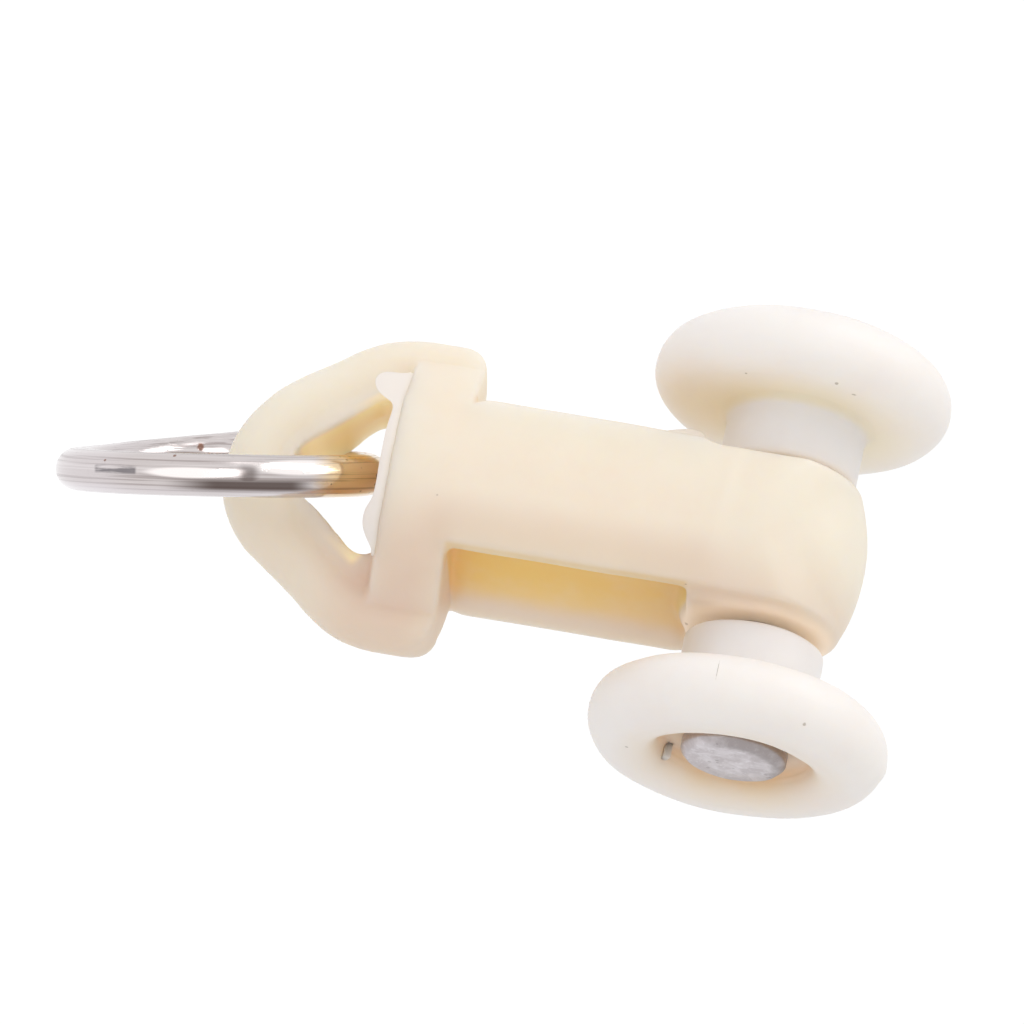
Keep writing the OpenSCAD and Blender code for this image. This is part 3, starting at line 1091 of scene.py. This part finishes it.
def ring_placement(settings):
    """From the ring's own frame (X to its top, Z along its axis) to the part's frame."""
    middle = Vector((0.2 * MM, 0.0, -20.4376 * MM))
    turn = Matrix.Rotation(settings.turn, 4, "Z") @ Matrix.Rotation(-settings.lean, 4, "Y")
    return Matrix.Translation(middle) @ turn @ Matrix.Rotation(math.radians(-90), 4, "Y")


def wire_material(settings, placement):
    material, tree, principled, place = new_material(
        "drawn_nickel_wire", settings.nickel, Metallic=1.0, Roughness=0.24
    )
    inverse = placement.inverted()
    own = add_node(tree, "ShaderNodeMapping", {"Vector": place}, vector_type="POINT")
    own.inputs["Location"].default_value = inverse.to_translation()
    own.inputs["Rotation"].default_value = inverse.to_euler("XYZ")
    local = own.outputs["Vector"]
    parts = split(tree, local)
    spoke = vector_node(tree, "LENGTH", vector_node(tree, "MULTIPLY", local, (1.0, 1.0, 0.0)))
    out = math_node(tree, "SUBTRACT", spoke, settings.middle_radius)
    angle = math_node(tree, "ARCTAN2", parts["Y"], parts["X"])
    stretched = times(tree, angle, settings.middle_radius, 0.011)
    drawn = {"X": out, "Y": parts["Z"], "Z": stretched}
    drawn = add_node(tree, "ShaderNodeCombineXYZ", drawn).outputs[0]
    lines = noise_node(tree, drawn, 8600.0, 3.0, 0.6)
    dark_lines = smooth_step(tree, lines, 0.53, 0.63)
    pale_lines = smooth_step(tree, lines, 0.45, 0.37)
    colour = mix_colour(tree, times(tree, pale_lines, 0.5), settings.nickel, settings.bright)
    colour = mix_colour(tree, times(tree, dark_lines, 0.5), colour, settings.tarnish)
    # Painted reflection: paler towards the ring's bottom and on the side of the wire that faces along -Z of
    # the ring's axis
    pale_end_reflection = step_mm(tree, parts["X"], -4.2, -2.2, 0.45, 0.12)
    pale_side_reflection = step_mm(tree, parts["Z"], -0.3, -0.6, 0.0, 0.4)
    colour = mix_colour(tree, math_node(tree, "ADD", pale_end_reflection, pale_side_reflection), colour, WIRE_PALE_REFLECTION)
    near_side = step_mm(tree, parts["Y"], -1.0, 0.0, 1.0, 0.0)
    # Painted reflection: a dark band along the near side of the wire and a dark gap between the two painted
    # highlights
    dark_reflection_band = times(
        tree,
        step_mm(tree, parts["Z"], -0.62, -0.42),
        step_mm(tree, parts["Z"], -0.24, -0.06, 1.0, 0.0),
        step_mm(tree, parts["X"], -1.8, 0.6),
        step_mm(tree, parts["X"], 3.1, 4.2, 1.0, 0.0),
    )
    dark_reflection_gap = times(
        tree,
        step_mm(tree, parts["X"], 1.15, 1.55),
        step_mm(tree, parts["X"], 1.75, 2.15, 1.0, 0.0),
        step_mm(tree, parts["Z"], 0.15, 0.55, 1.0, 0.0),
        step_mm(tree, parts["Z"], -0.5, -0.36),
        0.7,
    )
    painted_dark_reflection = times(tree, math_node(tree, "MAXIMUM", dark_reflection_band, dark_reflection_gap), near_side, 0.88)
    # Painted highlights: two long bright patches in place of the lamps' reflections, each a centre and half
    # sizes along and up in millimetres
    for centre, half in (((-0.42, 0.1), (1.85, 0.21)), ((3.5, 0.34), (1.75, 0.3))):
        offset = vector_node(tree, "SUBTRACT", local, (centre[0] * MM, 0.0, centre[1] * MM))
        shares = vector_node(tree, "MULTIPLY", offset, (1 / (half[0] * MM), 0.0, 1 / (half[1] * MM)))
        painted_highlight = smooth_step(tree, vector_node(tree, "LENGTH", shares), 0.7, 1.08, 0.95, 0.0)
        colour = mix_colour(tree, times(tree, painted_highlight, near_side), colour, WIRE_PAINTED_HIGHLIGHT)
    colour = mix_colour(tree, painted_dark_reflection, colour, WIRE_DARK_REFLECTION)
    scuff_box = soft_box(tree, local, (-3.3, -4.5, 0.14), (0.75, 2.0, 0.08), 0.12)
    along_wire = vector_node(tree, "MULTIPLY", drawn, (1.0, 1.0, 12.0))
    scratches = smooth_step(tree, noise_node(tree, along_wire, 4200.0, 4.0, 0.65), 0.38, 0.6)
    colour = mix_colour(tree, times(tree, scuff_box, scratches, 0.75), colour, WIRE_SCUFF)
    # Painted reflection: the ivory collar reflected as a warm colour on the wire near its top, its drawn
    # lines darker
    cast = times(tree, step_mm(tree, parts["X"], 3.7, 4.7), 0.85)
    warm = mix_colour(tree, times(tree, dark_lines, 0.5), settings.collar_reflection_colour, WARM_LINE)
    colour = mix_colour(tree, cast, colour, warm)
    freckles = use_group(tree, "Specks", Vector=local, Scale=4300.0, Size=0.36, Share=0.4)["Mask"]
    near_top = step_mm(tree, parts["X"], 3.4, 4.4, 0.04, 0.85)
    colour = mix_colour(tree, times(tree, freckles, near_top), colour, WIRE_FRECKLE)
    marks = [
        ((2.01, -5.28, -21.6), 0.1, (1.0, 1.0, 0.8)),
        ((-2.13, 3.81, -21.88), 0.2, (1.0, 1.0, 0.8)),
        ((-1.9, 4.0, -22.3), 0.13, (1.0, 1.0, 1.4)),
        ((2.2, -4.2, -24.2), 0.07, (1.0, 1.0, 1.0)),
    ]
    colour = darken_spots(tree, place, colour, marks, settings.rust, 0.8)
    tree.links.new(colour, principled.inputs["Base Color"])
    rough = math_node(tree, "ADD", 0.12, times(tree, dark_lines, 0.14))
    tree.links.new(rough, principled.inputs["Roughness"])
    height = math_node(tree, "ADD", lines, times(tree, freckles, 0.4))
    bump(tree, principled, height, 0.00003, 0.45)
    return material


class CURTAINGLIDER_OT_ring(bpy.types.Operator):
    """Build the wire ring with its butted, slightly sprung ends"""

    bl_idname = "curtain_glider.ring"
    bl_label = "Wire Ring"

    def execute(self, context):
        settings = context.scene.glider_ring
        radius = settings.middle_radius
        gap = settings.end_gap / radius
        mesh = bmesh.new()
        disc = bmesh.ops.create_circle(mesh, cap_ends=True, radius=settings.wire / 2, segments=48)
        upright = Matrix.Translation((radius, 0, 0)) @ Matrix.Rotation(math.radians(90), 4, "X")
        start = Matrix.Rotation(settings.joint_at + gap, 4, "Z")
        bmesh.ops.transform(mesh, matrix=start @ upright, verts=disc["verts"])
        bmesh.ops.spin(
            mesh,
            geom=mesh.faces[:] + mesh.edges[:] + mesh.verts[:],
            cent=(0, 0, 0),
            axis=(0, 0, 1),
            angle=math.tau - gap,
            steps=240,
        )
        bmesh.ops.remove_doubles(mesh, verts=mesh.verts[:], dist=1e-8)
        bmesh.ops.recalc_face_normals(mesh, faces=mesh.faces[:])
        rims = [edge for edge in mesh.edges if any(len(face.verts) > 4 for face in edge.link_faces)]
        round_edges(mesh, rims, 0.08 * MM)
        rise = math.tan(settings.spring)
        for vert in mesh.verts:
            angle = math.atan2(vert.co.y, vert.co.x) % math.tau
            if settings.joint_at + gap / 2 < angle < math.pi:
                up = vert.co.x + radius
                vert.co.z += rise * up * min(1.0, up / (1.2 * MM) * 0.5 + 0.5)
        placement = ring_placement(settings)
        bmesh.ops.transform(mesh, matrix=placement, verts=mesh.verts[:])
        material = wire_material(settings, placement)
        ring = finish_piece("wire_ring_drawn", "ring", mesh, material)
        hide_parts("wire_ring")
        return {"FINISHED"}


# The stage

TOWARDS_CAMERA = Vector((0.37, -0.925, 0.084)).normalized()
CAMERA_RIGHT = Vector((-0.185, 0.0155, 0.9826))
AIM = Vector((0.201, -0.794, -9.593)) * MM
DISTANCE = 0.3655
LENS_PIXELS = 10000
PICTURE_PIXELS = 1024


def camera_axes():
    right = (CAMERA_RIGHT - TOWARDS_CAMERA * CAMERA_RIGHT.dot(TOWARDS_CAMERA)).normalized()
    return right, TOWARDS_CAMERA.cross(right), TOWARDS_CAMERA


def facing(right, up, back, location):
    """A placement whose X, Y and Z axes are the given directions."""
    turn = Matrix((right, up, back)).transposed().to_4x4()
    return Matrix.Translation(location) @ turn


def cleared_tree(holder):
    holder.use_nodes = True
    holder.node_tree.nodes.clear()
    return holder.node_tree


def seen_share(tree):
    """1 for rays that come from the camera, a mirror or a clear piece, and 0 for the others."""
    path = add_node(tree, "ShaderNodeLightPath").outputs
    seen = math_node(tree, "MAXIMUM", path["Is Camera Ray"], path["Is Glossy Ray"])
    return math_node(tree, "MAXIMUM", seen, path["Is Transmission Ray"])


class CURTAINGLIDER_OT_stage(bpy.types.Operator):
    """Set up the pale floor, the soft lights and the camera"""

    bl_idname = "curtain_glider.stage"
    bl_label = "Floor, Lights and Camera"

    def execute(self, context):
        settings = context.scene.glider_stage
        scene = context.scene
        scene.view_settings.view_transform = "Standard"
        right, up, back = camera_axes()

        camera = bpy.data.cameras.new("camera")
        camera.sensor_width = 36.0
        camera.lens = 36.0 * LENS_PIXELS / PICTURE_PIXELS
        camera.clip_start, camera.clip_end = 0.01, 20.0
        holder = place_object("camera", camera)
        holder.matrix_world = facing(right, up, back, AIM + back * DISTANCE)
        scene.camera = holder

        mesh = bmesh.new()
        bmesh.ops.create_circle(mesh, cap_ends=True, radius=3.0, segments=96)
        floor_z = cad_box[0][2] - settings.drop
        bmesh.ops.translate(mesh, vec=(0, 0, floor_z), verts=mesh.verts[:])
        data = mesh_data("floor", mesh)
        floor = place_object("floor", data)
        material = bpy.data.materials.new("pale_floor")
        tree = cleared_tree(material)
        paint = add_node(tree, "ShaderNodeBsdfDiffuse", {"Color": settings.floor_white}).outputs[0]
        glow = add_node(tree, "ShaderNodeEmission", {"Color": (1, 1, 1, 1), "Strength": 1.12}).outputs[0]
        share = times(tree, seen_share(tree), 0.8)
        mixed = add_node(tree, "ShaderNodeMixShader", {0: share, 1: paint, 2: glow}).outputs[0]
        end = add_node(tree, "ShaderNodeOutputMaterial")
        tree.links.new(mixed, end.inputs["Surface"])
        data.materials.append(material)

        world = bpy.data.worlds.new("soft_room")
        scene.world = world
        tree = cleared_tree(world)
        levels = {"Value": seen_share(tree), "To Min": settings.sky, "To Max": 1.0}
        strength = add_node(tree, "ShaderNodeMapRange", levels).outputs["Result"]
        light = {"Color": (1, 1, 1, 1), "Strength": strength}
        glow = add_node(tree, "ShaderNodeBackground", light).outputs[0]
        end = add_node(tree, "ShaderNodeOutputWorld")
        tree.links.new(glow, end.inputs["Surface"])

        # Direction and long side in the camera's own axes (right, up, back), distance, sides and power
        lights = (
            ("front_softbox", (-0.15, 0.27, 0.95), (1.0, 0.0, 0.16), 0.4, (0.36, 0.24), settings.front),
            ("side_softbox", (0.7, 0.66, 0.2), (0.68, -0.73, -0.3), 0.36, (0.32, 0.15), settings.side),
            ("top_softbox", (-0.1, 0.95, 0.3), (1.0, 0.1, 0.0), 0.36, (0.3, 0.1), settings.top),
        )
        for name, direction, long_side, distance, size, power in lights:
            lamp = bpy.data.lights.new(name, "AREA")
            lamp.shape = "RECTANGLE"
            lamp.size, lamp.size_y = size
            lamp.energy = power
            holder = place_object(name, lamp)
            away, across = (
                (right * x + up * y + back * z).normalized() for x, y, z in (direction, long_side)
            )
            across = (across - away * across.dot(away)).normalized()
            holder.matrix_world = facing(across, away.cross(across), away, AIM + away * distance)
            holder.visible_camera = False
        return {"FINISHED"}


class CURTAINGLIDER_PT_panel(bpy.types.Panel):
    """Lists the steps that build the curtain glider"""

    bl_idname = "CURTAINGLIDER_PT_panel"
    bl_label = "Curtain Glider"
    bl_space_type = "VIEW_3D"
    bl_region_type = "UI"
    bl_category = "Curtain Glider"

    def draw(self, context):
        for step in OPERATORS:
            self.layout.operator(step.bl_idname)
        for name, kind in SETTINGS.items():
            box = self.layout.box()
            box.label(text=kind.__doc__)
            for key in kind.__annotations__:
                box.prop(getattr(context.scene, name), key)


OPERATORS = (
    CURTAINGLIDER_OT_body,
    CURTAINGLIDER_OT_flash,
    CURTAINGLIDER_OT_wheels,
    CURTAINGLIDER_OT_rivet,
    CURTAINGLIDER_OT_ring,
    CURTAINGLIDER_OT_stage,
)


def register():
    for kind in (*SETTINGS.values(), *OPERATORS, CURTAINGLIDER_PT_panel):
        bpy.utils.register_class(kind)
    for name, kind in SETTINGS.items():
        setattr(bpy.types.Scene, name, bpy.props.PointerProperty(type=kind))


def unregister():
    for name in SETTINGS:
        delattr(bpy.types.Scene, name)
    for kind in reversed((*SETTINGS.values(), *OPERATORS, CURTAINGLIDER_PT_panel)):
        bpy.utils.unregister_class(kind)


def main():
    register()
    box_mask_group()
    spot_group()
    specks_group()
    eye_wall_group()
    moulded_group()
    bpy.ops.curtain_glider.body()
    bpy.ops.curtain_glider.flash()
    bpy.ops.curtain_glider.wheels()
    bpy.ops.curtain_glider.rivet()
    bpy.ops.curtain_glider.ring()
    bpy.ops.curtain_glider.stage()


if __name__ == "__main__":
    main()
